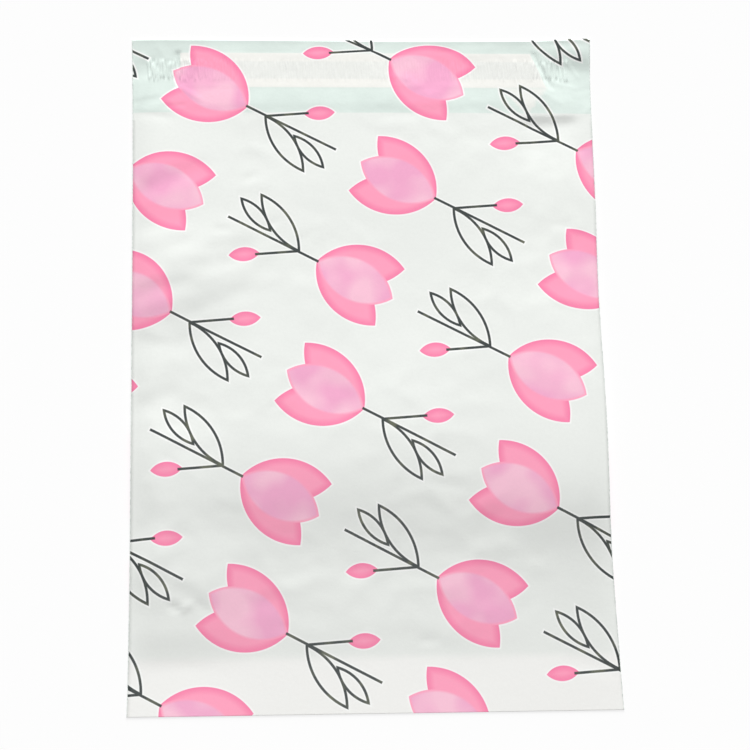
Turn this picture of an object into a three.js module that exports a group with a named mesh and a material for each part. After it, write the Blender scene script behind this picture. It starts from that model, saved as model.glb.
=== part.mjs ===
// A printed poly mailer, empty, lying on its back panel with the flap opened out flat.
// Millimetres, +Z up. X runs across the bag and +Y from the bottom fold to the flap's free edge.
// The origin is under the middle of the bag, on the surface that it lies on.
import * as THREE from "three";

// The film web: one strip of film, folded once across the bottom
const bagWidth = 254;
const pocketDepth = 328.4;
const flapLength = 44.6;
const filmGauge = 0.065;
const foldGap = 0.27;
const foldFacets = 6;

// The knife-cut side welds, where both panels are melted into one strip down each side
const weldWidth = 1.2;

// How the empty bag lies: heights of its front face up the middle, which is pressed flat below a
// soft crease, lofts to a crest with a little air in the pocket, and sinks again towards the flap
const creaseDistance = 30;
const creaseHeight = 1.1;
const crestDistance = 156;
const crestHeight = 6.6;
const lipHeight = 5.2;
const freeEdgeHeight = 2;
const sideRise = 30;

// Long soft waves of film that has been folded and smoothed out again. Each crosses the panel in
// its own direction, a share of X and a share of Y.
const waveLength = 150;
const softWaves = [
  { across: 0.8, along: 0.7, phase: 0.6, height: 0.2 },
  { across: -1.2, along: 1.9, phase: 2.1, height: 0.1 },
];

// How far the lofted pocket draws its sides in, at the middle of the bag's length
const leftDrawIn = 1.1;
const rightDrawIn = 2.2;
const rippleDepth = 0.4;
const rippleLength = 137;

// The adhesive strip on the flap's inner face, and the gathers that it puts in the film
const adhesiveWidth = 10.5;
const adhesiveSetback = 13.9;
const adhesiveMargin = 9;
const adhesiveThickness = 0.2;
const gatherPitch = 2;
const gatherHeight = 0.32;
const gatherRunOut = 1;

// Neighbouring gathers differ in height by this share, in a beat that doesn't repeat
const gatherVariation = 0.3;
const gatherBeat = 2.4;
const gatherDrift = 0.9;

// The release liner over the adhesive, cut square on the left and slanted on the right
const linerWidth = 20.6;
const linerSetback = 8.9;
const linerLeftMargin = 26.5;
const linerRightMargin = 24.7;
const linerSlant = 9;
const linerGauge = 0.08;

// Room between pieces that only touch
const clearance = 0.3;

// Size of the facets on the pocket, on the flap and along the flap's strips
const pocketFacet = 14;
const flapFacet = 8;
const stripFacet = 10;
const creaseFacet = 15;

// Where the facets' edges fall on the climb from a weld, as shares of it
const climbShares = [0, 0.13, 0.3, 0.5, 0.73, 1];

// Finishes
const filmColour = 0xf1f4f0;
const adhesiveColour = 0xe9ece4;
const linerColour = 0xf6f5f0;

// Places worked out from the sizes above
const bagLength = pocketDepth + flapLength;
const foldY = -bagLength / 2;
const freeEdgeY = bagLength / 2;
const lipY = foldY + pocketDepth;
const foldHeight = foldGap + 2 * filmGauge;
const creaseY = foldY + creaseDistance;
const crestY = foldY + crestDistance;
const adhesiveTopY = freeEdgeY - adhesiveSetback;
const adhesiveBottomY = adhesiveTopY - adhesiveWidth;
const linerTopY = freeEdgeY - linerSetback;
const linerBottomY = linerTopY - linerWidth;

// Crumples pressed into the flap's corners and the pocket: a ridge (or, with a minus, a valley)
// runs from one point to another, each measured from the bag's left side and from its free edge.
// It fades in and out over a share of its length.
const crumpleFade = 0.25;
const crumples = [
  { from: [0, 26], to: [34, 0], height: 0.7, width: 9 },
  { from: [4, 44], to: [30, 22], height: -0.5, width: 8 },
  { from: [230, 4], to: [254, 18], height: -0.9, width: 10 },
  { from: [222, 20], to: [250, 42], height: 0.6, width: 9 },
  { from: [10, 84], to: [62, 120], height: 0.5, width: 16 },
  { from: [0, 298], to: [58, 292], height: 0.9, width: 26 },
];

const clamp01 = (t) => Math.min(1, Math.max(0, t));
const smooth = (t) => clamp01(t) ** 2 * (3 - 2 * clamp01(t));
const mix = (from, to, share) => from + (to - from) * clamp01(share);

// A quarter wave from 0 at a welded or folded edge to 1 at the given distance from it.
const rise = (distance, length) => Math.sin((Math.PI / 2) * clamp01(distance / length));

// X of the bag's cut edge on one side (-1 left, 1 right).
function cutEdge(side, y) {
  const along = (2 * y) / bagLength;
  const hold = 1 - along ** 4;
  const ripple = rippleDepth * Math.cos((2 * Math.PI * (y - 34)) / rippleLength);
  const drawIn = side < 0 ? leftDrawIn : rightDrawIn + ripple;
  return side * (bagWidth / 2 - drawIn * hold);
}

function waving(x, y) {
  let total = 0;
  for (const { across, along, phase, height } of softWaves) {
    const turn = (2 * Math.PI * (across * x + along * y)) / waveLength;
    total += height * Math.sin(turn + phase);
  }
  return total;
}

function crumpling(x, y) {
  let total = 0;
  for (const { from, to, height: ridge, width } of crumples) {
    const start = new THREE.Vector2(from[0] - bagWidth / 2, freeEdgeY - from[1]);
    const run = new THREE.Vector2(to[0] - bagWidth / 2, freeEdgeY - to[1]).sub(start);
    const offset = new THREE.Vector2(x, y).sub(start);
    const along = offset.dot(run) / run.lengthSq();
    const aside = Math.abs(offset.cross(run)) / run.length();
    const ends = smooth(along / crumpleFade) * smooth((1 - along) / crumpleFade);
    total += ridge * smooth(1 - aside / width) * ends;
  }
  return total;
}

// Height of the front face up the middle of the bag, before waves and crumples.
function middleHeight(y) {
  if (y < creaseY) return mix(foldHeight, creaseHeight, (y - foldY) / creaseDistance);
  if (y < crestY) return mix(creaseHeight, crestHeight, smooth((y - creaseY) / (crestY - creaseY)));
  if (y < lipY) return mix(crestHeight, lipHeight, smooth((y - crestY) / (lipY - crestY)));
  return mix(lipHeight, freeEdgeHeight, (y - lipY) / flapLength);
}

// Height of the front face anywhere, without the gathers: it climbs from the two welds, and is
// held straight at the bottom fold.
function frontHeight(x, y) {
  const toWeld = Math.min(x - cutEdge(-1, y), cutEdge(1, y) - x) - weldWidth;
  const uneven = rise(y - foldY, creaseDistance) * (waving(x, y) + crumpling(x, y));
  return foldHeight + rise(toWeld, sideRise) * (middleHeight(y) - foldHeight + uneven);
}

// Collects the triangles of one closed surface. Rows run from left to right across the bag.
function closedSurface() {
  const positions = [];
  const indices = [];
  const xOf = (index) => positions[3 * index];

  const row = (points) =>
    points.map((point) => {
      positions.push(point.x, point.y, point.z);
      return positions.length / 3 - 1;
    });

  // Joins two rows that may differ in their number of points, stepping along the one behind.
  // The face looks the way that (first to second) cross (left to right) points.
  const strip = (first, second) => {
    let i = 0;
    let j = 0;
    while (i < first.length - 1 || j < second.length - 1) {
      const firstNext = i < first.length - 1 ? xOf(first[i + 1]) : Infinity;
      const secondNext = j < second.length - 1 ? xOf(second[j + 1]) : Infinity;
      const stepFirst = firstNext <= secondNext;
      indices.push(first[i], second[j], stepFirst ? first[i + 1] : second[j + 1]);
      if (stepFirst) i += 1;
      else j += 1;
    }
  };

  const fan = (corners) => {
    for (let k = 1; k < corners.length - 1; k += 1) {
      indices.push(corners[0], corners[k], corners[k + 1]);
    }
  };

  // Joins two lists of equal length rung by rung.
  const ladder = (first, second) => {
    for (let k = 0; k < first.length - 1; k += 1) {
      fan([first[k], second[k], second[k + 1], first[k + 1]]);
    }
  };

  const geometry = () => {
    const made = new THREE.BufferGeometry();
    made.setAttribute("position", new THREE.Float32BufferAttribute(positions, 3));
    made.setIndex(indices);
    made.computeVertexNormals();
    return made;
  };
  return { row, strip, fan, ladder, geometry };
}

const leftEnds = (rows) => rows.map((row) => row[0]);
const rightEnds = (rows) => rows.map((row) => row.at(-1));

// Points across the bag at one height up the page, from one cut edge to the other: closer together
// where the film climbs from the welds.
function acrossBag(y, facet) {
  const left = cutEdge(-1, y);
  const right = cutEdge(1, y);
  const climb = climbShares.map((share) => weldWidth + share * sideRise);
  const flatStart = left + climb.at(-1);
  const flatWidth = right - left - 2 * climb.at(-1);
  const flatCells = Math.round(flatWidth / facet);
  const xs = [left, ...climb.map((step) => left + step)];
  for (let cell = 1; cell < flatCells; cell += 1) xs.push(flatStart + (flatWidth * cell) / flatCells);
  xs.push(...climb.reverse().map((step) => right - step), right);
  return xs;
}

// One row of the front panel or the flap, with the film's gauge set off downwards.
function frontRow(y, xs, gatherAt = () => 0) {
  const outer = xs.map((x) => new THREE.Vector3(x, y, frontHeight(x, y) + gatherAt(x)));
  const inner = outer.map((point) => point.clone().setZ(point.z - filmGauge));
  return { outer, inner };
}

// The gathers: one ridge for every pitch along the adhesive, of uneven height, each two facets wide.
function gatherRow(y, share) {
  const start = cutEdge(-1, y) + adhesiveMargin;
  const end = cutEdge(1, y) - adhesiveMargin;
  const ridges = Math.round((end - start) / gatherPitch);
  const xs = [];
  const heights = new Map();
  for (let k = 0; k <= 2 * ridges; k += 1) {
    const x = start + ((end - start) * k) / (2 * ridges);
    const beat = Math.sin(gatherBeat * k + Math.sin(gatherDrift * k));
    const uneven = 1 - gatherVariation + gatherVariation * beat;
    const fadeIn = smooth(Math.min(x - start, end - x) / (2 * gatherPitch));
    xs.push(x);
    heights.set(x, k % 2 ? gatherHeight * share * uneven * fadeIn : 0);
  }
  const plain = acrossBag(y, flapFacet);
  const before = plain.filter((x) => x < start - gatherPitch / 2);
  const after = plain.filter((x) => x > end + gatherPitch / 2);
  return frontRow(y, [...before, ...xs, ...after], (x) => heights.get(x) ?? 0);
}

// The flap's rows, from its free edge down to the lip's line. The gathers are at their full height
// along the adhesive's middle and at half of it along its two edges.
function flapRows() {
  const plain = (y) => frontRow(y, acrossBag(y, flapFacet));
  const bandMiddle = (adhesiveTopY + adhesiveBottomY) / 2;
  const belowStart = adhesiveBottomY - gatherRunOut;
  const belowCells = Math.round((belowStart - lipY) / flapFacet);
  const rows = [plain(freeEdgeY), plain((freeEdgeY + linerTopY) / 2), plain(linerTopY)];
  rows.push(plain(adhesiveTopY + gatherRunOut), gatherRow(adhesiveTopY, 1 / 2));
  rows.push(gatherRow(bandMiddle, 1), gatherRow(adhesiveBottomY, 1 / 2));
  for (let cell = 0; cell <= belowCells; cell += 1) {
    rows.push(plain(belowStart + ((lipY - belowStart) * cell) / belowCells));
  }
  return rows;
}

// Places along the pocket, from below the lip to the crease and on to where the fold's curve begins.
function pocketStations() {
  const ys = [];
  const walk = (start, end, facet) => {
    const cells = Math.round((start - end) / facet);
    for (let cell = 1; cell <= cells; cell += 1) ys.push(start + ((end - start) * cell) / cells);
  };
  walk(lipY, creaseY, pocketFacet);
  walk(creaseY, foldY + foldHeight, creaseFacet);
  return ys;
}

// The bag: flap, front panel, bottom fold and back panel are one web of film, and the two side
// welds close it. The pocket between the panels is open at the lip.
function filmBag() {
  const { row, strip, fan, ladder, geometry } = closedSurface();
  const foldRadius = foldHeight / 2;
  const foldCentreY = foldY + foldRadius;

  // Flap: both faces, the free edge and the two cut edges
  const flap = flapRows();
  const flapOuter = flap.map((points) => row(points.outer));
  const flapInner = flap.map((points) => row(points.inner));
  for (let k = 0; k < flap.length - 1; k += 1) {
    strip(flapOuter[k], flapOuter[k + 1]);
    strip(flapInner[k + 1], flapInner[k]);
  }
  ladder(flapInner[0], flapOuter[0]);
  ladder(leftEnds(flapOuter), leftEnds(flapInner));
  ladder(rightEnds(flapInner), rightEnds(flapOuter));

  // Front panel: its inner face ends at the welds
  const stations = pocketStations();
  const panels = stations.map((y) => frontRow(y, acrossBag(y, pocketFacet)));
  const frontOuter = [flapOuter.at(-1), ...panels.map((points) => row(points.outer))];
  const frontInner = [
    flapInner.at(-1).slice(1, -1),
    ...panels.map((points) => row(points.inner.slice(1, -1))),
  ];

  // Bottom fold: half a turn of the web round the fold's centre line
  const foldRow = (angle, radius, inset) => {
    const y = foldCentreY + radius * Math.cos(angle);
    const z = foldRadius + radius * Math.sin(angle);
    const left = cutEdge(-1, foldCentreY) + inset;
    const right = cutEdge(1, foldCentreY) - inset;
    return row([new THREE.Vector3(left, y, z), new THREE.Vector3(right, y, z)]);
  };
  const turns = Array.from({ length: foldFacets + 1 }, (_, k) => Math.PI * (1 / 2 + k / foldFacets));
  const foldOuter = turns.map((angle) => foldRow(angle, foldRadius, 0));
  const foldInner = turns.map((angle) => foldRow(angle, foldRadius - filmGauge, weldWidth));
  frontOuter.push(foldOuter[0]);
  frontInner.push(foldInner[0]);
  for (let k = 0; k < frontOuter.length - 1; k += 1) {
    strip(frontOuter[k], frontOuter[k + 1]);
    strip(frontInner[k + 1], frontInner[k]);
  }
  for (let k = 0; k < foldFacets; k += 1) {
    strip(foldOuter[k], foldOuter[k + 1]);
    strip(foldInner[k + 1], foldInner[k]);
  }
  fan(leftEnds(foldOuter).reverse());
  fan(rightEnds(foldOuter));
  fan(leftEnds(foldInner));
  fan(rightEnds(foldInner).reverse());

  // Back panel, flat on the surface that the bag lies on
  const backRow = (y, z, inset) =>
    row([
      new THREE.Vector3(cutEdge(-1, y) + inset, y, z),
      new THREE.Vector3(cutEdge(1, y) - inset, y, z),
    ]);
  const backOuter = [lipY, ...stations].map((y) => backRow(y, 0, 0));
  const backInner = [lipY, ...stations].map((y) => backRow(y, filmGauge, weldWidth));
  backOuter.push(foldOuter.at(-1));
  backInner.push(foldInner.at(-1));
  for (let k = 0; k < backOuter.length - 1; k += 1) {
    strip(backOuter[k + 1], backOuter[k]);
    strip(backInner[k], backInner[k + 1]);
  }

  // Side welds: the cut faces outside, and the pocket's side walls inside
  const [flapLeft, flapRight] = [flapInner.at(-1)[0], flapInner.at(-1).at(-1)];
  const [frontLeft, frontRight] = [leftEnds(frontOuter), rightEnds(frontOuter)];
  const [backLeft, backRight] = [leftEnds(backOuter), rightEnds(backOuter)];
  fan([frontLeft[1], frontLeft[0], flapLeft, backLeft[0], backLeft[1]]);
  fan([frontRight[1], backRight[1], backRight[0], flapRight, frontRight[0]]);
  ladder(frontLeft.slice(1), backLeft.slice(1));
  ladder(backRight.slice(1), frontRight.slice(1));
  ladder(leftEnds(backInner), leftEnds(frontInner));
  ladder(rightEnds(frontInner), rightEnds(backInner));

  // Lip: the back panel's cut end and the ends of the two welds
  const [innerLeft, innerRight] = [frontInner[0][0], frontInner[0].at(-1)];
  fan([flapLeft, innerLeft, backInner[0][0], backLeft[0]]);
  fan([backInner[0][0], backInner[0][1], backRight[0], backLeft[0]]);
  fan([innerRight, flapRight, backRight[0], backInner[0][1]]);
  return geometry();
}

// A strip under the flap that follows the film's arch, a given depth below its outer face.
// Each row has its own ends, so an end can be cut on a slant.
function underFlapStrip(ys, leftEnd, rightEnd, depth, thickness) {
  const { row, strip, ladder, geometry } = closedSurface();
  const cells = Math.round((rightEnd(ys[0]) - leftEnd(ys[0])) / stripFacet);
  const rowAt = (y, below) => {
    const points = [];
    for (let cell = 0; cell <= cells; cell += 1) {
      const x = leftEnd(y) + ((rightEnd(y) - leftEnd(y)) * cell) / cells;
      points.push(new THREE.Vector3(x, y, frontHeight(x, y) - below));
    }
    return row(points);
  };
  const upper = ys.map((y) => rowAt(y, depth));
  const lower = ys.map((y) => rowAt(y, depth + thickness));
  for (let k = 0; k < ys.length - 1; k += 1) {
    strip(upper[k], upper[k + 1]);
    strip(lower[k + 1], lower[k]);
  }
  ladder(lower[0], upper[0]);
  ladder(upper.at(-1), lower.at(-1));
  ladder(leftEnds(upper), leftEnds(lower));
  ladder(rightEnds(lower), rightEnds(upper));
  return geometry();
}

// The hot-melt band, tacky side down, on the flap's inner face.
function adhesiveStrip() {
  const ys = [adhesiveTopY, adhesiveBottomY];
  const leftEnd = (y) => cutEdge(-1, y) + adhesiveMargin;
  const rightEnd = (y) => cutEdge(1, y) - adhesiveMargin;
  return underFlapStrip(ys, leftEnd, rightEnd, filmGauge + clearance, adhesiveThickness);
}

// The liner, peeled off before the bag is closed.
function releaseLiner() {
  const ys = [linerTopY, adhesiveTopY, adhesiveBottomY, linerBottomY];
  const leftEnd = () => -bagWidth / 2 + linerLeftMargin;
  const rightEnd = (y) =>
    bagWidth / 2 - linerRightMargin - (linerSlant * (y - linerBottomY)) / linerWidth;
  const depth = filmGauge + clearance + adhesiveThickness + clearance;
  return underFlapStrip(ys, leftEnd, rightEnd, depth, linerGauge);
}

function named(name, geometry, colour, roughness) {
  const material = new THREE.MeshStandardMaterial({ color: colour, roughness, metalness: 0 });
  const mesh = new THREE.Mesh(geometry, material);
  mesh.name = name;
  return mesh;
}

const mailer = new THREE.Group();
mailer.add(named("film_bag", filmBag(), filmColour, 0.45));
mailer.add(named("adhesive_strip", adhesiveStrip(), adhesiveColour, 0.3));
mailer.add(named("release_liner", releaseLiner(), linerColour, 0.35));

export default mailer;
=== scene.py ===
# A printed poly mailer, empty, lying on its back panel with the flap opened out, seen from above.
# Lengths are written in millimetres times MM, and everything is in metres, in the CAD frame.
import math
import random

import bmesh
import bpy
from mathutils import Matrix, Vector, noise


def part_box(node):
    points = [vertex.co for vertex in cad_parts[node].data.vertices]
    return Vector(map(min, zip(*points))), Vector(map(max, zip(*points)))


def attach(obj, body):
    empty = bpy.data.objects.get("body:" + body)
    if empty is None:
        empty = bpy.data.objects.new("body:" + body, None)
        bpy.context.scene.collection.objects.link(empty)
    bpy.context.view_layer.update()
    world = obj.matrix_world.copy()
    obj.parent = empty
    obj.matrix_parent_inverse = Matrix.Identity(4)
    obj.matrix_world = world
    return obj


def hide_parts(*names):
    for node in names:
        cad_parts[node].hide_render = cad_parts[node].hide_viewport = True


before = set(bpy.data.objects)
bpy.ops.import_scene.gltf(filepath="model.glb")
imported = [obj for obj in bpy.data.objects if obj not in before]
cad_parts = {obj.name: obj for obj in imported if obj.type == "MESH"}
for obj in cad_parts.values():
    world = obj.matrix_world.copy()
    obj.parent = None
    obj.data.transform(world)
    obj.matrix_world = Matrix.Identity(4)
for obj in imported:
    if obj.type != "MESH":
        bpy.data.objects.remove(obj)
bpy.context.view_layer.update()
MM = 0.001

# Camera
# Nearly overhead, tipped towards the bottom fold and a little to the left, as the photo was taken.
camera_place = Vector((-58.64, -339.96, 1170.70)) * MM
looks_at = Vector((3.01, -6.92, 0.0)) * MM
camera_roll = math.radians(9.62)

camera_data = bpy.data.cameras.new("camera")
camera_data.sensor_width = 36
camera_data.lens = 110.1
camera = bpy.data.objects.new("camera", camera_data)
line_of_sight = (looks_at - camera_place).to_track_quat("-Z", "Y")
camera.matrix_world = (
    Matrix.Translation(camera_place)
    @ line_of_sight.to_matrix().to_4x4()
    @ Matrix.Rotation(camera_roll, 4, "Z")
)
bpy.context.scene.collection.objects.link(camera)
bpy.context.scene.camera = camera


# Film bag: the web of film
# One strip of co-extruded polyethylene, white outside: flap, front panel, a fold across the bottom
# and back panel. The pocket lies slightly lofted, with soft waves where it was folded for packing.
FILM_GAUGE = 0.065 * MM
FOLD_HEIGHT = 0.26 * MM
WELD_WIDTH = 1.2 * MM
POCKET_DEPTH = 328.4 * MM
FLAP_LENGTH = 44.6 * MM
CREASE_DISTANCE = 29 * MM

# The film comes up from each side weld over SIDE_CLIMB. The weld itself takes a share of the loft,
# and stiffens the film beside it. The loft draws the cut edges in, and the right one ripples.
SIDE_CLIMB = 14 * MM
LEFT_WELD_LIFT = 0.45
RIGHT_WELD_LIFT = 0.6
STIFF_WIDTH = 5 * MM
LEFT_DRAW_IN = 1.1 * MM
RIGHT_DRAW_IN = 2.2 * MM
RIPPLE_DEPTH = 0.4 * MM
RIPPLE_LENGTH = 137 * MM
RIPPLE_DEEPEST_Y = 34 * MM

film_low, film_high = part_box("film_bag")
BAG_WIDTH = film_high.x - film_low.x
BAG_LENGTH = film_high.y - film_low.y
FOLD_Y = film_low.y
FREE_EDGE_Y = film_high.y
LIP_Y = FOLD_Y + POCKET_DEPTH

# The release liner's and the adhesive's places under the flap, from its free edge and the sides.
# They and the lip were laid a little askew to the free edge: a rise in Y for each step in X.
FLAP_SKEW = -0.0055
LINER_SETBACK = 8.9 * MM
LINER_WIDTH = 20.6 * MM
LINER_LEFT = 26.5 * MM
LINER_RIGHT = 24.7 * MM
LINER_SLANT = 9 * MM
GLUE_SETBACK = 13.9 * MM
GLUE_WIDTH = 10.5 * MM
GLUE_MARGIN = 9 * MM

# The gathers rise at the band's upper edge and run out at its lower one. Over the liner, which
# holds the film flat, only a share of their height is left.
GATHER_PITCH = 1.5 * MM
GATHER_HEIGHT = 0.52 * MM
GATHER_RISE = 2.6 * MM
GATHER_RUN_OUT = 2.4 * MM
OVER_LINER = 0.25
LINER_HOLD = 7 * MM

# The free edge isn't quite straight: it falls short of its two corners by up to EDGE_SAG
EDGE_SAG = 1.3 * MM
SAG_FROM_LEFT = 165 * MM
SAG_FROM_RIGHT = 34 * MM


def clamp01(value):
    return min(1.0, max(0.0, value))


def smooth(value):
    value = clamp01(value)
    return value * value * (3 - 2 * value)


def cut_edge(side, y):
    """X of the knife-cut edge on one side, -1 left and 1 right: the loft draws it in."""
    hold = 1 - (2 * y / BAG_LENGTH) ** 4
    ripple = RIPPLE_DEPTH * math.cos(2 * math.pi * (y - RIPPLE_DEEPEST_Y) / RIPPLE_LENGTH)
    draw_in = LEFT_DRAW_IN if side < 0 else RIGHT_DRAW_IN + ripple
    return side * (BAG_WIDTH / 2 - draw_in * hold)


# Height of the outer face by distance from the fold, in mm, down the bag's left side, its middle
# and its right side: pressed flat up to a soft crease, up to a crest, and down to the free edge
left_heights = [
    (0, 0.26), (24, 0.3), (31, 0.6), (42, 1.32), (53, 1.82), (68, 2.72), (80, 3.1), (95, 3.55),
    (125, 4.85), (145, 4.85), (165, 4.3), (185, 3.98), (200, 3.72), (226, 4.68), (240, 4.75),
    (265, 3.8), (295, 3.25), (329, 2.3), (335, 2.2), (352, 1.5), (369, 1.15), (373, 1.18),
]
middle_heights = [
    (0, 0.26), (27, 0.55), (31, 0.66), (45, 1.3), (63, 2.0), (74, 2.35), (90, 3.2), (112, 4.8),
    (130, 5.6), (150, 5.8), (204, 4.85), (280, 3.6), (329, 2.4), (335, 2.32), (352, 1.56),
    (369, 1.14), (373, 1.15),
]
right_heights = [
    (0, 0.26), (27, 0.6), (31, 0.7), (60, 1.8), (82, 3.0), (108, 5.3), (125, 6.0), (155, 6.05),
    (190, 5.5), (260, 3.9), (329, 2.35), (335, 2.27), (352, 1.56), (369, 1.15), (373, 1.22),
]


def height_along(heights, y):
    """A smooth curve through the heights, by Hermite steps with the mean slope at each point."""
    place = (y - FOLD_Y) / MM
    last = len(heights) - 1
    step = next((k for k in range(last) if place <= heights[k + 1][0]), last - 1)

    def slope(k):
        (d_a, h_a), (d_b, h_b) = heights[max(0, k - 1)], heights[min(last, k + 1)]
        return (h_b - h_a) / (d_b - d_a)

    (d_a, h_a), (d_b, h_b) = heights[step], heights[step + 1]
    span = d_b - d_a
    t = clamp01((place - d_a) / span)
    height = h_a + (h_b - h_a) * t * t * (3 - 2 * t)
    return (height + span * t * (1 - t) * (slope(step) * (1 - t) - slope(step + 1) * t)) * MM


SIDE_LINE = 100 * MM
LINE_BLEND = 50 * MM


def loft(x, y):
    """How far the film stands over the fold's height, blended across from the three lines."""
    on_left = 1 - smooth((x + SIDE_LINE) / LINE_BLEND)
    on_right = smooth((x - SIDE_LINE + LINE_BLEND) / LINE_BLEND)
    height = height_along(middle_heights, y) * (1 - on_left - on_right)
    if on_left:
        height += on_left * height_along(left_heights, y)
    if on_right:
        height += on_right * height_along(right_heights, y)
    return height - FOLD_HEIGHT


# Creases from handling: (from x, y) (to x, y), height and half width, in mm from the bag's centre.
# A crease with two half widths is steeper on one side, the first being left of the way it runs.
creases = [
    # the flap's left corner
    ((-128, 168), (-112, 173), -0.14, 6, 10), ((-128, 164), (-116, 167), -0.06, 5),
    ((-123, 144), (-117, 166), 0.1, 2.5), ((-127, 148), (-110, 151), -0.12, 3.5, 6),
    ((-104, 160), (-88, 149), 0.12, 2.5), ((-110, 146), (-96, 147), -0.09, 2.5),
    ((-122, 179), (-110, 163), 0.12, 2, 4), ((-104, 166), (-114, 184), 0.1, 2, 5),
    ((-100, 176), (-90, 168), 0.08, 2), ((-127, 143), (-104, 139), -0.1, 3, 5),
    # the flap's right corner
    ((102, 167), (130, 165), -0.95, 12, 44), ((102, 181), (127, 179), 0.08, 4),
    ((86, 133.5), (119, 135), -0.72, 6.5, 34), ((96, 172), (103, 158), -0.14, 3),
    ((112, 174), (120, 162), 0.09, 2), ((106, 160), (118, 156), 0.07, 2),
    ((98, 154), (110, 147), 0.08, 2.5), ((116, 154), (127, 157), -0.06, 3),
    ((110, 186), (118, 174), -0.08, 2.5), ((120, 140), (127, 147), 0.09, 2.5),
    # the pocket's left side, from the lip down
    ((-128, 94), (-84, 112), -0.25, 9), ((-126, 66), (-92, 74), 0.15, 8),
    ((-128, 36), (-92, 46), -0.24, 9), ((-100, 24), (-60, 42), -0.2, 9),
    ((-94, 50), (-62, 60), -0.16, 8), ((-92, 68), (-58, 73), 0.2, 20, 8),
    ((-108, 58), (-84, 62), 0.15, 10, 8),
    ((-129, 1), (-104, 3), 0.08, 9, 22), ((-128, -27), (-98, -18), -0.2, 9),
    ((-127, -48), (-96, -40), 0.1, 9), ((-129, -108), (-106, -112), 0.34, 30, 14),
    ((-108, -117), (-84, -120), 0.17, 16, 14), ((-120, -112), (-92, -126), -0.15, 7),
    ((-106, -129), (-99, -133), -0.34, 2.4), ((-101, -133), (-93, -128), 0.26, 2.4),
    ((-94, -127), (-84, -134), -0.14, 2.4),
    ((-60, -126), (-20, -138), -0.12, 9),
    # small dings in the open field
    ((-66, 102), (-58, 106), -0.12, 3), ((-56, 75), (-47, 79), -0.12, 2.5),
    ((-82, 75), (-73, 73), -0.14, 2.5), ((-111, -56), (-103, -53), 0.1, 2.5),
    ((-50, -140), (-45, -143), -0.14, 2),
    ((-54, -26), (-45, -23), -0.12, 3), ((-110, -52), (-101, -55), -0.14, 3),
    ((22, -150), (34, -149), -0.1, 3), ((100, 76), (112, 75), -0.1, 3),
    ((115, 118), (124, 122), -0.12, 3), ((30, -66), (48, -70), -0.1, 5),
    # the pocket's right side
    ((98, -160), (126, -168), -0.08, 7), ((60, 4), (122, -20), 0.1, 14),
]


# A crease runs on past both its ends by a share of its length, and fades over a third of it
CREASE_OVERRUN = 0.1
CREASE_FADE = 3


def creasing(x, y):
    """Height of all the creases together."""
    height = 0.0
    for (x_a, y_a), (x_b, y_b), ridge, *half_widths in creases:
        run = Vector((x_b - x_a, y_b - y_a))
        offset = Vector((x / MM - x_a, y / MM - y_a))
        along = offset.dot(run) / run.length_squared
        from_start = along + CREASE_OVERRUN
        to_end = 1 + CREASE_OVERRUN - along
        if min(from_start, to_end) <= 0:
            continue
        aside = (offset.x * run.y - offset.y * run.x) / run.length
        half_width = half_widths[0] if aside < 0 else half_widths[-1]
        if abs(aside) < half_width:
            fold = smooth(1 - abs(aside) / half_width)
            ends = smooth(from_start * CREASE_FADE) * smooth(to_end * CREASE_FADE)
            height += ridge * fold * ends
    return height * MM


# Marks of handling, in mm: how large the swells, the gripped areas, the crumples in them and two
# kinds of fine unevenness are, and how far the crumples' outlines wander
SWELL_SIZE = 55
GRIP_SIZE = 70
CRUMPLE_SIZE = 26
FINE_SIZE = 9
FINEST_SIZE = 4.2
WANDER = 9
WANDER_SIZE = 30


def handling(x, y):
    """Soft swells, and small flat-sided crumples where the film was gripped."""
    here = Vector((x / MM, y / MM, 0))
    swell = noise.noise(here / SWELL_SIZE + Vector((3.1, 0.4, 2.0)))
    wander_x = noise.noise(here / WANDER_SIZE + Vector((0.6, 7.2, 3.0)))
    wander_y = noise.noise(here / WANDER_SIZE + Vector((4.9, 2.7, 6.0)))
    bent = here + WANDER * Vector((wander_x, wander_y, 0))
    nearest, second = noise.voronoi(bent / CRUMPLE_SIZE, distance_metric="DISTANCE")[0][:2]
    crumple = min(second - nearest, 0.5)
    gripped = smooth(0.5 + 1.6 * noise.noise(here / GRIP_SIZE + Vector((8.0, 5.0, 1.0))))
    fine = noise.noise(here / FINE_SIZE) * 0.05 + noise.noise(here / FINEST_SIZE) * 0.02
    return (0.3 * swell + 0.3 * gripped * (0.25 - crumple) + fine * (0.3 + gripped)) * MM


# Gathers: each ridge has its own place, half width, height, lean, bend and ends
gather_choice = random.Random(11)
gathers = []
glue_top_y = FREE_EDGE_Y - GLUE_SETBACK
gather_x = cut_edge(-1, glue_top_y) + GLUE_MARGIN
last_gather_x = cut_edge(1, glue_top_y) - GLUE_MARGIN - 4 * MM
while gather_x < last_gather_x:
    pitch = GATHER_PITCH * gather_choice.uniform(0.7, 1.3)
    gathers.append(
        (
            gather_x,
            0.52 * pitch,
            GATHER_HEIGHT * gather_choice.uniform(0.45, 1.0),
            gather_choice.uniform(-0.06, 0.08),
            gather_choice.uniform(-0.25, 0.25) * MM,
            gather_choice.uniform(-0.9, 0.9) * MM,
            gather_choice.uniform(-0.9, 0.9) * MM,
        )
    )
    gather_x += pitch


def below_free_edge(x, y):
    """Distance below the free edge, measured square to the liner."""
    return FREE_EDGE_Y - y + FLAP_SKEW * x


def liner_end(below_edge):
    """X of the liner's slanted right end, a given distance below the free edge."""
    down = (below_edge - LINER_SETBACK) / LINER_WIDTH
    return BAG_WIDTH / 2 - LINER_RIGHT - LINER_SLANT * (1 - down)


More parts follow.
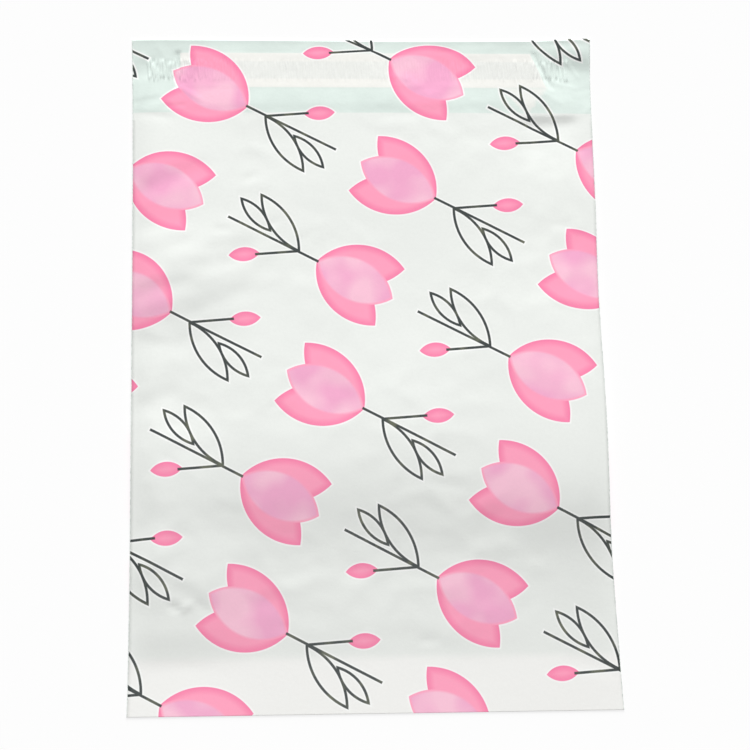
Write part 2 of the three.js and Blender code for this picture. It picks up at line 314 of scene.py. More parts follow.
def gathering(x, y):
    """Height of the gathers over the film's mean level, which they draw down."""
    below_edge = below_free_edge(x, y)
    band_middle = GLUE_SETBACK + GLUE_WIDTH / 2
    if abs(below_edge - band_middle) > GLUE_WIDTH / 2 + 2 * MM:
        return 0.0
    height = 0.0
    along_ridge = (below_edge - band_middle) / (GLUE_WIDTH / 2)
    for ridge_x, half_width, ridge, lean, bend, top, bottom in gathers:
        middle = ridge_x + lean * (below_edge - band_middle) + bend * math.cos(2.6 * along_ridge)
        aside = (x - middle) / half_width
        if abs(aside) < 1:
            start = smooth((below_edge - GLUE_SETBACK - top) / GATHER_RISE + 0.5)
            to_end = GLUE_SETBACK + GLUE_WIDTH + bottom - below_edge
            end = smooth(to_end / GATHER_RUN_OUT + 0.5)
            height = max(height, ridge * start * end * (1 - aside * aside))
    into_liner = min(x + BAG_WIDTH / 2 - LINER_LEFT, liner_end(below_edge) - x)
    past_liner = math.exp(-max(0.0, into_liner) / LINER_HOLD)
    from_top = smooth((below_edge - GLUE_SETBACK) / GATHER_RISE + 0.5)
    from_bottom = smooth((GLUE_SETBACK + GLUE_WIDTH - below_edge) / GATHER_RUN_OUT + 0.5)
    from_side = smooth((min(x - gathers[0][0], gathers[-1][0] - x) / MM + 2) / 4)
    height -= 0.33 * GATHER_HEIGHT * from_top * from_bottom * from_side
    return height * (OVER_LINER + (1 - OVER_LINER) * past_liner)


# The liner lifts the film a little, over a soft step. Beside each of its ends the film buckles
# down: the buckle's depth, its distance past the end and its half width.
LINER_LIFT = 0.035 * MM
LINER_STEP = 1.4 * MM
LEFT_BUCKLE = (0.45 * MM, 1.2 * MM, 1.3 * MM)
RIGHT_BUCKLE = (0.27 * MM, 1.6 * MM, 1.5 * MM)


def liner_step(x, y):
    """Height of the film over the liner's thickness and in the buckles at its two ends."""
    below_edge = below_free_edge(x, y)
    left = x + BAG_WIDTH / 2 - LINER_LEFT
    right = liner_end(below_edge) - x
    top = below_edge - LINER_SETBACK
    bottom = LINER_SETBACK + LINER_WIDTH - below_edge
    if min(top, bottom) < -3 * MM:
        return 0.0
    inside = smooth(left / LINER_STEP + 0.5) * smooth(right / LINER_STEP + 0.5)
    inside *= smooth(top / LINER_STEP + 0.5) * smooth(bottom / LINER_STEP + 0.5)
    beside = smooth((top + 2 * MM) / (3 * MM)) * smooth((bottom + 2 * MM) / (3 * MM))
    buckled = 0.0
    for from_end, (depth, beyond, half_width) in ((left, LEFT_BUCKLE), (right, RIGHT_BUCKLE)):
        buckled += depth * math.exp(-((from_end + beyond) / half_width) ** 2)
    return LINER_LIFT * inside - buckled * beside


def to_weld(x, y):
    """Distance from the nearer side weld, 0 inside it."""
    return max(0.0, min(x - cut_edge(-1, y), cut_edge(1, y) - x) - WELD_WIDTH)


def climb(x, y):
    """0 at a side weld and 1 once the film has come up from it."""
    return math.sin(math.pi / 2 * clamp01(to_weld(x, y) / SIDE_CLIMB))


def panel_height(x, y):
    """Height of the front panel's outer face, without the gathers. A weld stiffens the film beside
    it, while the flap's cut sides crumple freely."""
    at_weld = clamp01(1 - to_weld(x, y) / STIFF_WIDTH)
    at_weld *= 1 - 0.85 * smooth((y - LIP_Y) / (8 * MM))
    held = (1 - 0.7 * at_weld) * clamp01((y - FOLD_Y) / (5 * MM))
    loose = clamp01((y - FOLD_Y) / (60 * MM)) * (0.5 + 0.5 * climb(x, y))
    uneven = handling(x, y) * loose + creasing(x, y) + liner_step(x, y)
    weld_lift = LEFT_WELD_LIFT if x < 0 else RIGHT_WELD_LIFT
    raised = loft(x, y) * (weld_lift + (1 - weld_lift) * climb(x, y)) + held * uneven
    return FOLD_HEIGHT + max(0.0, raised)


# The back panel stands off the table here and there, by up to half BACK_STAND_OFF
BACK_STAND_OFF = 0.5 * MM
STAND_OFF_SIZE = 38


def back_height(x, y):
    """The back panel lies on the table, but for its sides, which rise to the welds, and a few
    places where it stands off a little."""
    at_weld = panel_height(cut_edge(-1 if x < 0 else 1, y), y) - FOLD_HEIGHT
    here = Vector((x / MM, y / MM, 4.0))
    stand_off = BACK_STAND_OFF * max(0.0, noise.noise(here / STAND_OFF_SIZE) - 0.1)
    to_end = clamp01(min(y - FOLD_Y, LIP_Y - y) / (20 * MM))
    return at_weld * (1 - climb(x, y)) + stand_off * climb(x, y) * to_end


def edge_sag(x):
    """How far the flap's free edge falls short of the line between its two corners."""
    from_left = smooth((BAG_WIDTH / 2 + x) / SAG_FROM_LEFT)
    return EDGE_SAG * from_left * smooth((BAG_WIDTH / 2 - x) / SAG_FROM_RIGHT)


def web_place(share, along):
    """Where a point of the flat web comes to lie. along is measured from the flap's free edge."""
    radius = FOLD_HEIGHT / 2
    front_length = BAG_LENGTH - radius
    around = along - front_length
    if around <= 0:
        y = FREE_EDGE_Y - along
        x = cut_edge(-1, y) + share * (cut_edge(1, y) - cut_edge(-1, y))
        drawn_in = edge_sag(x) * clamp01(1 - along / LINER_SETBACK)
        return Vector((x, y - drawn_in, panel_height(x, y) + gathering(x, y)))
    turn = around / radius
    y = FOLD_Y + radius
    if turn < math.pi:
        x = cut_edge(-1, y) + share * (cut_edge(1, y) - cut_edge(-1, y))
        return Vector((x, y - radius * math.sin(turn), radius + radius * math.cos(turn)))
    y += around - math.pi * radius
    x = cut_edge(-1, y) + share * (cut_edge(1, y) - cut_edge(-1, y))
    return Vector((x, y, back_height(x, y)))


# Cells of the web: across it, along its parts, and round the fold
WEB_COLUMNS = 122
FINE_END = FLAP_LENGTH + 3 * MM
FLAP_CELL = 1.0 * MM
PANEL_CELL = 2.1 * MM
NEAR_FOLD = 0.6 * MM
NEAR_FOLD_CELL = 0.3 * MM
FOLD_CELLS = 6
BACK_CELL = 8 * MM


def web_rows():
    """Distances along the web: closest in the flap and round the fold, wide on the back panel."""
    radius = FOLD_HEIGHT / 2
    front_end = BAG_LENGTH - radius
    near_fold = front_end - NEAR_FOLD
    back_start = front_end + math.pi * radius
    stretches = [
        (0, FINE_END, FLAP_CELL),
        (FINE_END, near_fold, PANEL_CELL),
        (near_fold, front_end, NEAR_FOLD_CELL),
        (front_end, back_start, math.pi * radius / FOLD_CELLS),
        (back_start, back_start + POCKET_DEPTH - radius, BACK_CELL),
    ]
    rows = [0.0]
    for start, end, spacing in stretches:
        cells = max(1, round((end - start) / spacing))
        rows += [start + (end - start) * (cell + 1) / cells for cell in range(cells)]
    return rows


def make_object(name, work):
    mesh = bpy.data.meshes.new(name)
    work.to_mesh(mesh)
    work.free()
    made = bpy.data.objects.new(name, mesh)
    bpy.context.scene.collection.objects.link(made)
    for face in mesh.polygons:
        face.use_smooth = True
    return made


def flat_sheet(columns, rows):
    """A flat grid in x 0..1 and y 0..rows, whose corners' places are read as shares and row numbers."""
    work = bmesh.new()
    bmesh.ops.create_grid(work, x_segments=columns, y_segments=rows, size=0.5)
    for vertex in work.verts:
        vertex.co = Vector((vertex.co.x + 0.5, (0.5 - vertex.co.y) * rows, 0))
    return work


rows_along = web_rows()
web = flat_sheet(WEB_COLUMNS, len(rows_along) - 1)


def between_rows(row_number):
    """Distance along the web at a row number, which may lie between two rows."""
    lower = min(int(row_number + 1e-4), len(rows_along) - 2)
    return rows_along[lower] + (row_number - lower) * (rows_along[lower + 1] - rows_along[lower])


for vertex in web.verts:
    vertex.co.y = between_rows(vertex.co.y)


def cross_edges(work, start, end):
    """The edges that run across the web, between two distances along it."""
    return [
        edge
        for edge in work.edges
        if abs(edge.verts[0].co.y - edge.verts[1].co.y) < 1e-7
        and start - 1e-6 <= edge.verts[0].co.y <= end + 1e-6
    ]


# The flap gets finer cells across, and the glue band the finest, for the gathers
bmesh.ops.subdivide_edges(web, edges=cross_edges(web, 0, FINE_END), cuts=1)
band_start, band_end = GLUE_SETBACK - 2 * MM, GLUE_SETBACK + GLUE_WIDTH + 2 * MM
bmesh.ops.subdivide_edges(web, edges=cross_edges(web, band_start, band_end), cuts=2)

flat_uv = web.loops.layers.uv.new("web")
for face in web.faces:
    for loop in face.loops:
        loop[flat_uv].uv = (loop.vert.co.x * BAG_WIDTH, loop.vert.co.y)
for vertex in web.verts:
    vertex.co = web_place(vertex.co.x, vertex.co.y)
bmesh.ops.recalc_face_normals(web, faces=web.faces)
lofted_faces = [face for face in web.faces if face.calc_center_median().z > MM]
facing_up = [face for face in lofted_faces if face.normal.z > 0]
if len(facing_up) < len(lofted_faces) / 2:
    bmesh.ops.reverse_faces(web, faces=web.faces)
film = make_object("printed_film", web)

gauge = film.modifiers.new("gauge", "SOLIDIFY")
gauge.thickness = FILM_GAUGE
gauge.offset = -1
gauge.use_rim = True
gauge.use_quality_normals = True
gauge.material_offset = 1
gauge.material_offset_rim = 2


# Film finishes
# The outside is satin white film, tinted mint where the flap is one layer thick, and whiter over
# the liner. The print is several pinks and a charcoal line, with a thin white halo round them.
def feed(tree, socket, value):
    if isinstance(value, bpy.types.NodeSocket):
        tree.links.new(value, socket)
    else:
        socket.default_value = value


def math_node(tree, operation, *values):
    made = tree.nodes.new("ShaderNodeMath")
    made.operation = operation
    for socket, value in zip(made.inputs, values):
        feed(tree, socket, value)
    return made.outputs[0]


def vector_node(tree, operation, *values, output=0):
    made = tree.nodes.new("ShaderNodeVectorMath")
    made.operation = operation
    for socket, value in zip(made.inputs, values):
        feed(tree, socket, value)
    return made.outputs[output]


def placed(tree, vector, centre, turn_degrees):
    """Coordinates about a centre, turned so that X runs along the shape."""
    made = tree.nodes.new("ShaderNodeMapping")
    made.vector_type = "TEXTURE"
    feed(tree, made.inputs["Vector"], vector)
    made.inputs["Location"].default_value = (*centre, 0)
    made.inputs["Rotation"].default_value = (0, 0, math.radians(turn_degrees))
    return made.outputs[0]


def ramp(tree, value, low, high):
    """0 below low, 1 above high."""
    made = tree.nodes.new("ShaderNodeMapRange")
    feed(tree, made.inputs["Value"], value)
    made.inputs["From Min"].default_value = low
    made.inputs["From Max"].default_value = high
    return made.outputs[0]


def one_minus(tree, value):
    return math_node(tree, "SUBTRACT", 1.0, value)


def blend_colour(tree, share, first, second, mode="MIX"):
    made = tree.nodes.new("ShaderNodeMix")
    made.data_type = "RGBA"
    made.blend_type = mode
    feed(tree, made.inputs["Factor"], share)
    feed(tree, made.inputs["A"], first)
    feed(tree, made.inputs["B"], second)
    return made.outputs["Result"]


def noise_texture(tree, vector, scale, detail=2.0, roughness=0.5):
    made = tree.nodes.new("ShaderNodeTexNoise")
    feed(tree, made.inputs["Vector"], vector)
    made.inputs["Scale"].default_value = scale
    made.inputs["Detail"].default_value = detail
    made.inputs["Roughness"].default_value = roughness
    return made.outputs[0]


def srgb(red, green, blue):
    """A colour written as it looks on screen, 0 to 255, as the linear values that a shader takes."""
    linear = []
    for channel in (red, green, blue):
        share = channel / 255
        linear.append(share / 12.92 if share <= 0.04045 else ((share + 0.055) / 1.055) ** 2.4)
    return (*linear, 1.0)


def new_finish(name, roughness):
    finish = bpy.data.materials.new(name)
    finish.use_nodes = True
    shader = finish.node_tree.nodes["Principled BSDF"]
    shader.inputs["Roughness"].default_value = roughness
    return finish, finish.node_tree, shader


def tint(tree, shader, share, first, second):
    """Gives a shader's base colour as a blend of two."""
    feed(tree, shader.inputs["Base Color"], blend_colour(tree, share, first, second))


def lens(tree, vector, centre, turn_degrees, half_length, half_width):
    """Distance in mm to the outline of a pointed lens, as a petal or a leaf: negative inside."""
    radius = (half_length**2 + half_width**2) / (2 * half_width)
    local = vector_node(tree, "ABSOLUTE", placed(tree, vector, centre, turn_degrees))
    from_centre = vector_node(tree, "ADD", local, (0, radius - half_width, 0))
    reach = vector_node(tree, "LENGTH", from_centre, output=1)
    return math_node(tree, "SUBTRACT", reach, radius)


def bar(tree, vector, centre, turn_degrees, half_length, half_width):
    """Distance to a straight drawn line."""
    local = vector_node(tree, "ABSOLUTE", placed(tree, vector, centre, turn_degrees))
    outside = vector_node(tree, "SUBTRACT", local, (half_length, half_width, 0))
    parts = tree.nodes.new("ShaderNodeSeparateXYZ")
    tree.links.new(outside, parts.inputs[0])
    return math_node(tree, "MAXIMUM", parts.outputs[0], parts.outputs[1])


def nearest_of(tree, distances):
    nearest = distances[0]
    for distance in distances[1:]:
        nearest = math_node(tree, "MINIMUM", nearest, distance)
    return nearest


# The repeat, in mm and degrees: motifs in staggered rows on a turned lattice, every other row
# facing back. Each row is shifted along by a share of the repeat's length.
REPEAT_LENGTH = 116
REPEAT_WIDTH = 62
ROW_SHIFT = 0.42
LATTICE_CORNER = (30, -12)
LATTICE_TURN = 28
LINE_HALF_WIDTH = 0.72
INK_EDGE = 0.16
PINK = srgb(255, 160, 190)
DEEP_PINK = srgb(246, 116, 163)
LILAC_PINK = srgb(242, 170, 204)
PALE_PINK = srgb(250, 196, 216)
CHARCOAL = srgb(40, 48, 47)
OLIVE_GREY = srgb(98, 102, 84)
HALO_WHITE = srgb(249, 250, 248)


def motif_coordinates(tree, web_mm):
    """A point's place on its own motif, in mm from the motif's middle."""
    turned = placed(tree, web_mm, LATTICE_CORNER, LATTICE_TURN)
    parts = tree.nodes.new("ShaderNodeSeparateXYZ")
    tree.links.new(turned, parts.inputs[0])
    row = math_node(tree, "FLOOR", math_node(tree, "DIVIDE", parts.outputs[1], REPEAT_WIDTH))
    odd = math_node(tree, "FLOORED_MODULO", row, 2.0)
    shift = math_node(tree, "MULTIPLY", row, REPEAT_LENGTH * ROW_SHIFT)
    shifted = math_node(tree, "ADD", parts.outputs[0], shift)
    along = math_node(tree, "FLOORED_MODULO", shifted, float(REPEAT_LENGTH))
    across = math_node(tree, "FLOORED_MODULO", parts.outputs[1], float(REPEAT_WIDTH))
    facing = one_minus(tree, math_node(tree, "MULTIPLY", odd, 2.0))
    local = tree.nodes.new("ShaderNodeCombineXYZ")
    for socket, value, size in ((0, along, REPEAT_LENGTH), (1, across, REPEAT_WIDTH)):
        centred = math_node(tree, "SUBTRACT", value, size / 2)
        tree.links.new(math_node(tree, "MULTIPLY", centred, facing), local.inputs[socket])
    return local.outputs[0]


def inked(tree, distance):
    """1 where a shape is printed, from the distance to its outline."""
    return one_minus(tree, ramp(tree, distance, -INK_EDGE, INK_EDGE))


def printed(tree, web_mm, ground):
    """The ground colour with the tulip print over it. Each shape is given by its centre, turn,
    half length and half width."""
    local = motif_coordinates(tree, web_mm)
    upper = lens(tree, local, (-26, -9), 22, 24, 11.5)
    lower = lens(tree, local, (-26, 9), -22, 24, 11.5)
    middle = lens(tree, local, (-27, 0), 0, 23, 12.5)
    bud = lens(tree, local, (33, -15), -32, 8.5, 4)
    leaf_a = lens(tree, local, (24, 10), 30, 19, 5.6)
    leaf_b = lens(tree, local, (38, 8), 22, 12, 3.6)
    drawn = [
        bar(tree, local, (23, 0), 0, 27.8, LINE_HALF_WIDTH),
        bar(tree, local, (18, -6.2), -32, 11.5, LINE_HALF_WIDTH),
        math_node(tree, "SUBTRACT", math_node(tree, "ABSOLUTE", leaf_a), LINE_HALF_WIDTH),
        math_node(tree, "SUBTRACT", math_node(tree, "ABSOLUTE", leaf_b), LINE_HALF_WIDTH),
    ]
    line = nearest_of(tree, drawn)
    petals = nearest_of(tree, [upper, lower, middle, bud])

    halo_edge = math_node(tree, "MINIMUM", petals, line)
    halo = one_minus(tree, ramp(tree, halo_edge, 0.5, 1.1))
    colour = blend_colour(tree, halo, ground, HALO_WHITE)

    outer = nearest_of(tree, [upper, lower, bud])
    rim = ramp(tree, outer, -4.2, -0.4)
    shade = blend_colour(tree, math_node(tree, "MULTIPLY", rim, 0.75), PINK, DEEP_PINK)
    in_both = math_node(tree, "MAXIMUM", upper, lower)
    overlap = one_minus(tree, ramp(tree, in_both, -0.3, 0.3))
    shade = blend_colour(tree, math_node(tree, "MULTIPLY", overlap, 0.6), shade, DEEP_PINK)
    colour = blend_colour(tree, inked(tree, outer), colour, shade)

    wash = noise_texture(tree, web_mm, 0.045, detail=1.0)
    petal_front = blend_colour(tree, ramp(tree, wash, 0.4, 0.62), LILAC_PINK, PALE_PINK)
    petal_front = blend_colour(tree, ramp(tree, middle, -1.6, -0.2), petal_front, PINK)
    colour = blend_colour(tree, inked(tree, middle), colour, petal_front)

    worn = ramp(tree, noise_texture(tree, web_mm, 0.11), 0.5, 0.68)
    ink = blend_colour(tree, math_node(tree, "MULTIPLY", worn, 0.85), CHARCOAL, OLIVE_GREY)
    return blend_colour(tree, inked(tree, line), colour, ink)


def flat_millimetres(tree, uv_map):
    """A sheet's own flat coordinates in mm. On the web, X runs from its left edge and Y from the
    free edge."""
    flat = tree.nodes.new("ShaderNodeUVMap")
    flat.uv_map = uv_map
    scaled = vector_node(tree, "SCALE", flat.outputs[0])
    scaled.node.inputs["Scale"].default_value = 1 / MM
    return scaled


BODY_WHITE = srgb(236, 239, 235)
# The pressed strip below the packing crease gets a lighter white: painted light, not a different film
PAINTED_LIGHT_STRIP_WHITE = srgb(242, 242, 239)
MINT = srgb(220, 232, 226)
PALE_MINT = srgb(225, 237, 231)
LINER_WHITE = srgb(242, 241, 236)
BAND_GREY = srgb(233, 235, 231)
CLING_WHITE = srgb(240, 241, 236)

# The patch where the film clings to the layer below, below the liner's slanted end, in mm of the
# web: its sides' places at CLING_START, and how they slant inwards from there
CLING_START = 30
CLING_TOP = 29.5
CLING_BOTTOM = 43
CLING_LEFT = 204
CLING_RIGHT = 229
CLING_LEFT_SLANT = 0.9
CLING_RIGHT_SLANT = -0.675
CLING_WOBBLE = 5


def box_mask(tree, x, y, left, right, top, bottom, soft=0.35):
    """1 inside a rectangle of the web, in mm. An edge may be a node's value."""
    sides = [
        math_node(tree, "SUBTRACT", x, left), math_node(tree, "SUBTRACT", right, x),
        math_node(tree, "SUBTRACT", y, top), math_node(tree, "SUBTRACT", bottom, y),
    ]
    return ramp(tree, nearest_of(tree, sides), -soft, soft)


def ground_colours(tree, web_mm):
    """White body, painted lighter below the crease as painted light, mint flap, the liner showing
    through, and the patch that sticks to the lip.
    """
    parts = tree.nodes.new("ShaderNodeSeparateXYZ")
    tree.links.new(web_mm, parts.inputs[0])
    width = BAG_WIDTH / MM
    x = parts.outputs[0]
    from_middle = math_node(tree, "SUBTRACT", x, width / 2)
    y = math_node(tree, "MULTIPLY_ADD", from_middle, FLAP_SKEW, parts.outputs[1])
    cloud = noise_texture(tree, web_mm, 0.03, detail=3.0)
    mint = blend_colour(tree, ramp(tree, cloud, 0.42, 0.6), MINT, PALE_MINT)
    flap_length = FLAP_LENGTH / MM
    on_flap = one_minus(tree, ramp(tree, y, flap_length - 0.3, flap_length + 0.3))
    crease = (BAG_LENGTH - CREASE_DISTANCE) / MM
    # Painted light: below the crease the body is painted the lighter strip white
    painted_light_below_crease = ramp(tree, parts.outputs[1], crease - 2.2, crease + 2.2)
    body = blend_colour(tree, painted_light_below_crease, BODY_WHITE, PAINTED_LIGHT_STRIP_WHITE)
    colour = blend_colour(tree, on_flap, body, mint)

    setback, liner_width = LINER_SETBACK / MM, LINER_WIDTH / MM
    left_end, liner_bottom = LINER_LEFT / MM, setback + liner_width
    to_bottom = math_node(tree, "SUBTRACT", y, liner_bottom)
    slant = math_node(tree, "MULTIPLY", to_bottom, LINER_SLANT / LINER_WIDTH)
    slanted_end = math_node(tree, "ADD", slant, width - LINER_RIGHT / MM)
    over_liner = box_mask(tree, x, y, left_end, slanted_end, setback, liner_bottom)
    colour = blend_colour(tree, math_node(tree, "MULTIPLY", over_liner, 0.95), colour, LINER_WHITE)

    glue_top, glue_bottom = GLUE_SETBACK / MM, (GLUE_SETBACK + GLUE_WIDTH) / MM
    over_glue = box_mask(tree, x, y, left_end, slanted_end, glue_top, glue_bottom, 0.5)
    colour = blend_colour(tree, math_node(tree, "MULTIPLY", over_glue, 0.8), colour, BAND_GREY)

    down = math_node(tree, "SUBTRACT", y, CLING_START)
    left = math_node(tree, "MULTIPLY_ADD", down, CLING_LEFT_SLANT, CLING_LEFT)
    right = math_node(tree, "MULTIPLY_ADD", down, CLING_RIGHT_SLANT, CLING_RIGHT)
    uneven = math_node(tree, "SUBTRACT", noise_texture(tree, web_mm, 0.3), 0.5)
    patch_x = math_node(tree, "MULTIPLY_ADD", uneven, CLING_WOBBLE, x)
    cling = box_mask(tree, patch_x, y, left, right, CLING_TOP, CLING_BOTTOM, 1.2)
    return blend_colour(tree, math_node(tree, "MULTIPLY", cling, 0.95), colour, CLING_WHITE)


film_outside, tree, shader = new_finish("printed_white_film", 0.42)
web_mm = flat_millimetres(tree, "web")
grain = noise_texture(tree, web_mm, 0.55, detail=4.0, roughness=0.65)
ground = ground_colours(tree, web_mm)
spread = ramp(tree, grain, 0.3, 0.7)
mottled = math_node(tree, "MULTIPLY_ADD", spread, 0.03, 0.97)
with_print = printed(tree, web_mm, ground)
grey = tree.nodes.new("ShaderNodeCombineColor")
for channel in grey.inputs:
    tree.links.new(mottled, channel)
clouded = blend_colour(tree, 1.0, with_print, grey.outputs[0], "MULTIPLY")
feed(tree, shader.inputs["Base Color"], clouded)
feed(tree, shader.inputs["Roughness"], math_node(tree, "MULTIPLY_ADD", spread, 0.1, 0.38))
bump = tree.nodes.new("ShaderNodeBump")
bump.inputs["Strength"].default_value = 0.5
bump.inputs["Distance"].default_value = 0.05 * MM
crinkle = math_node(tree, "ADD", grain, noise_texture(tree, web_mm, 0.16, detail=3.0))
tree.links.new(crinkle, bump.inputs["Height"])
tree.links.new(bump.outputs[0], shader.inputs["Normal"])
film.data.materials.append(film_outside)

film_inside, tree, shader = new_finish("pale_mint_inner_film", 0.5)
inner_mm = flat_millimetres(tree, "web")
inner_cloud = ramp(tree, noise_texture(tree, inner_mm, 0.06, detail=3.0), 0.4, 0.65)
tint(tree, shader, inner_cloud, srgb(214, 228, 220), srgb(222, 234, 227))
film.data.materials.append(film_inside)

film_cut, tree, shader = new_finish("cut_film_edge", 0.4)
edge_mm = flat_millimetres(tree, "web")
edge_shade = ramp(tree, noise_texture(tree, edge_mm, 0.5), 0.35, 0.65)
tint(tree, shader, edge_shade, srgb(208, 218, 212), srgb(230, 236, 232))
film.data.materials.append(film_cut)

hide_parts("film_bag")
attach(film, "root")


# Side welds
# A hot knife cuts and seals both sides in one stroke. It leaves a thin bead of melted film with
# small uneven lumps, a thicker one about every two millimetres, grey-green against the white.
BEAD_RADIUS = 0.23 * MM
BEAD_SIDES = 6
LUMP_PITCH = 2.1 * MM
STATIONS_PER_LUMP = 3

film_weld, tree, shader = new_finish("melted_weld_bead", 0.35)
place = tree.nodes.new("ShaderNodeTexCoord")
melt = ramp(tree, noise_texture(tree, place.outputs["Object"], 420.0), 0.38, 0.62)
tint(tree, shader, melt, srgb(206, 216, 210), srgb(236, 241, 237))


def weld_bead(name, side, seed):
    """An uneven tube along one cut edge, flat where it meets the table."""
    stations = round(BAG_LENGTH / (LUMP_PITCH / STATIONS_PER_LUMP))
    choice = random.Random(seed)
    thin, thick = (0.5, 0.8), (0.8, 1.15)
    lumps = [
        choice.uniform(*(thin if station % STATIONS_PER_LUMP else thick))
        for station in range(stations + 1)
    ]
    work = flat_sheet(BEAD_SIDES, stations)
    for vertex in work.verts:
        station = round(vertex.co.y)
        y = FREE_EDGE_Y - BAG_LENGTH * station / stations
        turn = 2 * math.pi * vertex.co.x
        radius = BEAD_RADIUS * lumps[station]
        x = cut_edge(side, y) - side * 0.5 * BEAD_RADIUS
        z = panel_height(cut_edge(side, y), y) - 0.2 * FOLD_HEIGHT
        z = max(0.0, z + radius * math.sin(turn))
        vertex.co = Vector((x + radius * math.cos(turn), y, z))
    bmesh.ops.remove_doubles(work, verts=work.verts, dist=1e-7)
    open_edges = [edge for edge in work.edges if edge.is_boundary]
    bmesh.ops.holes_fill(work, edges=open_edges, sides=BEAD_SIDES)
    bmesh.ops.recalc_face_normals(work, faces=work.faces)
    bead = make_object(name, work)
    bead.data.materials.append(film_weld)
    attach(bead, "root")


weld_bead("left_weld_bead", side=-1, seed=5)
weld_bead("right_weld_bead", side=1, seed=6)


# Adhesive strip
# A band of clear pressure-sensitive hot melt, laid on the flap's inner face in fine lines. It is
# drawn up with the film, and only its two ends show past the liner from below.
GLUE_THICKNESS = 0.2 * MM

# Each strip lies this far under what it sticks to, so that no two surfaces share a place
TOUCHING = 0.12 * MM


def strip_under_flap(name, left, right, top, width, depth, thickness, columns, rows):
    """A thin strip that follows the film's underside, its upper face at a depth below it. left and
    right give the X of its ends, by distance below the free edge, where the strip has its top."""
    work = flat_sheet(columns, rows)
    uv = work.loops.layers.uv.new("strip")
    for face in work.faces:
        for loop in face.loops:
            loop[uv].uv = (loop.vert.co.x * BAG_WIDTH, loop.vert.co.y / rows * width)
    for vertex in work.verts:
        below_edge = top + vertex.co.y / rows * width
        x = left(below_edge) + vertex.co.x * (right(below_edge) - left(below_edge))
        y = FREE_EDGE_Y - below_edge + FLAP_SKEW * x
        vertex.co = Vector((x, y, panel_height(x, y) - FILM_GAUGE - depth))
    bmesh.ops.recalc_face_normals(work, faces=work.faces)
    if next(iter(work.faces)).normal.z < 0:
        bmesh.ops.reverse_faces(work, faces=work.faces)
    strip = make_object(name, work)
    body = strip.modifiers.new("thickness", "SOLIDIFY")
    body.thickness = thickness
    body.offset = -1
    return strip


adhesive = strip_under_flap(
    "hot_melt_band",
    left=lambda below: cut_edge(-1, FREE_EDGE_Y - below) + GLUE_MARGIN,
    right=lambda below: cut_edge(1, FREE_EDGE_Y - below) - GLUE_MARGIN,
    top=GLUE_SETBACK, width=GLUE_WIDTH, depth=TOUCHING, thickness=GLUE_THICKNESS,
    columns=235, rows=10,
)
hot_melt, tree, shader = new_finish("clear_hot_melt", 0.16)
glue_uv = tree.nodes.new("ShaderNodeUVMap")
glue_uv.uv_map = "strip"
glue_lines = tree.nodes.new("ShaderNodeTexWave")
glue_lines.bands_direction = "Y"
glue_lines.inputs["Scale"].default_value = 180.0
glue_lines.inputs["Distortion"].default_value = 1.5
tree.links.new(glue_uv.outputs[0], glue_lines.inputs["Vector"])
tint(tree, shader, glue_lines.outputs["Fac"], srgb(226, 230, 222), srgb(236, 238, 230))
glue_bump = tree.nodes.new("ShaderNodeBump")
glue_bump.inputs["Distance"].default_value = 0.05 * MM
tree.links.new(glue_lines.outputs["Fac"], glue_bump.inputs["Height"])
tree.links.new(glue_bump.outputs[0], shader.inputs["Normal"])
adhesive.data.materials.append(hot_melt)
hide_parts("adhesive_strip")
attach(adhesive, "root")


# Release liner
# A strip of siliconed film pressed over the adhesive, cut square on the left and on a slant on the
# right, and peeled away before the bag is closed.
LINER_GAUGE = 0.08 * MM
liner = strip_under_flap(
    "peel_off_liner",
    left=lambda below: LINER_LEFT - BAG_WIDTH / 2,
    right=liner_end,
    top=LINER_SETBACK, width=LINER_WIDTH, depth=2 * TOUCHING + GLUE_THICKNESS,
    thickness=LINER_GAUGE, columns=200, rows=20,
)
silicone_film, tree, shader = new_finish("siliconed_liner_film", 0.3)
liner_mm = flat_millimetres(tree, "strip")
liner_cloud = ramp(tree, noise_texture(tree, liner_mm, 0.2, detail=3.0), 0.35, 0.65)
tint(tree, shader, liner_cloud, srgb(240, 240, 234), srgb(247, 247, 243))
liner.data.materials.append(silicone_film)
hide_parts("release_liner")
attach(liner, "root")


# Table and light
# A plain white table in a bright room: soft light from above, and a low window light from beyond
# the flap, which shows the film's waves and darkens what slopes away towards the bottom fold.
TABLE_HALF_SIZE = 6
TABLE_GAP = 0.02 * MM

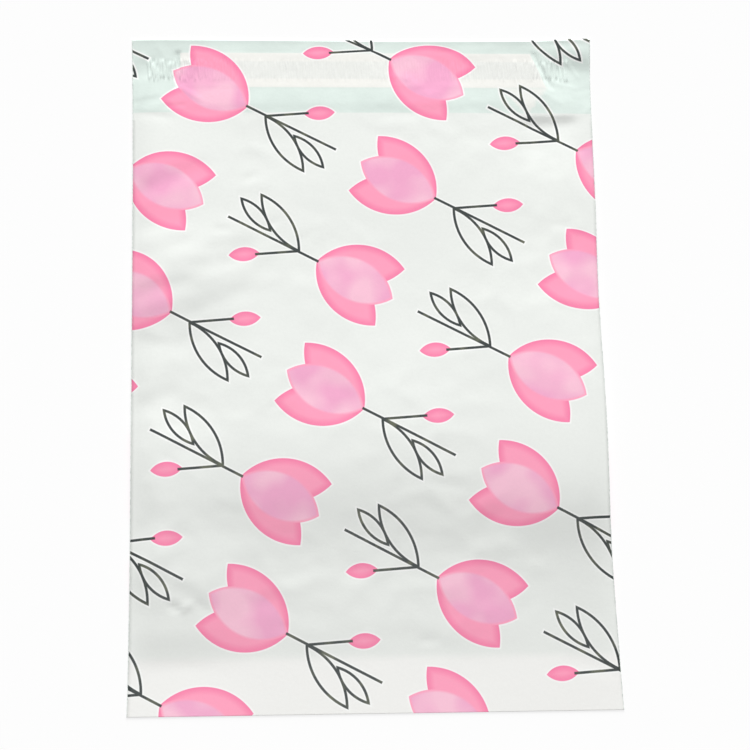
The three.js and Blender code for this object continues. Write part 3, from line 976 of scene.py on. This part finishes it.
white_surface, tree, shader = new_finish("white_table", 1.0)
shader.inputs["Base Color"].default_value = (0.25, 0.25, 0.25, 1)
shader.inputs["Emission Color"].default_value = (1, 1, 1, 1)
shader.inputs["Emission Strength"].default_value = 0.74
shader.inputs["Specular IOR Level"].default_value = 0.0

table_top = bmesh.new()
bmesh.ops.create_grid(table_top, x_segments=1, y_segments=1, size=TABLE_HALF_SIZE)
table = make_object("table", table_top)
table.location.z = -TABLE_GAP
table.data.materials.append(white_surface)

# The room lights the bag softly. What is seen or mirrored past the table's edge is plain white.
ROOM_LIGHT = 0.3
world = bpy.data.worlds.new("studio")
world.use_nodes = True
backdrop = world.node_tree.nodes["Background"]
backdrop.inputs["Color"].default_value = (1, 1, 1, 1)
rays = world.node_tree.nodes.new("ShaderNodeLightPath")
seen = rays.outputs["Is Camera Ray"]
for kind in ("Is Glossy Ray", "Is Transmission Ray"):
    seen = math_node(world.node_tree, "MAXIMUM", seen, rays.outputs[kind])
strength = math_node(world.node_tree, "MULTIPLY_ADD", seen, 1 - ROOM_LIGHT, ROOM_LIGHT)
feed(world.node_tree, backdrop.inputs["Strength"], strength)
bpy.context.scene.world = world

softbox_data = bpy.data.lights.new("softbox", "AREA")
softbox_data.shape = "SQUARE"
softbox_data.size = 0.5
softbox_data.energy = 4.6
softbox = bpy.data.objects.new("softbox", softbox_data)
softbox.location = (0, 0, 1.9)
bpy.context.scene.collection.objects.link(softbox)

WINDOW_ELEVATION = math.radians(13)
WINDOW_AZIMUTH = math.radians(2)
WINDOW_SHARE = 0.55
window_data = bpy.data.lights.new("window", "SUN")
window_data.angle = math.radians(20)
window_data.energy = math.pi * WINDOW_SHARE / math.sin(WINDOW_ELEVATION)
window = bpy.data.objects.new("window", window_data)
window.rotation_mode = "QUATERNION"
window_direction = Vector((0, -math.cos(WINDOW_ELEVATION), -math.sin(WINDOW_ELEVATION)))
window_direction.rotate(Matrix.Rotation(-WINDOW_AZIMUTH, 3, "Z"))
window.rotation_quaternion = window_direction.to_track_quat("-Z", "Y")
window.visible_glossy = False
bpy.context.scene.collection.objects.link(window)

bpy.context.scene.view_settings.view_transform = "Standard"
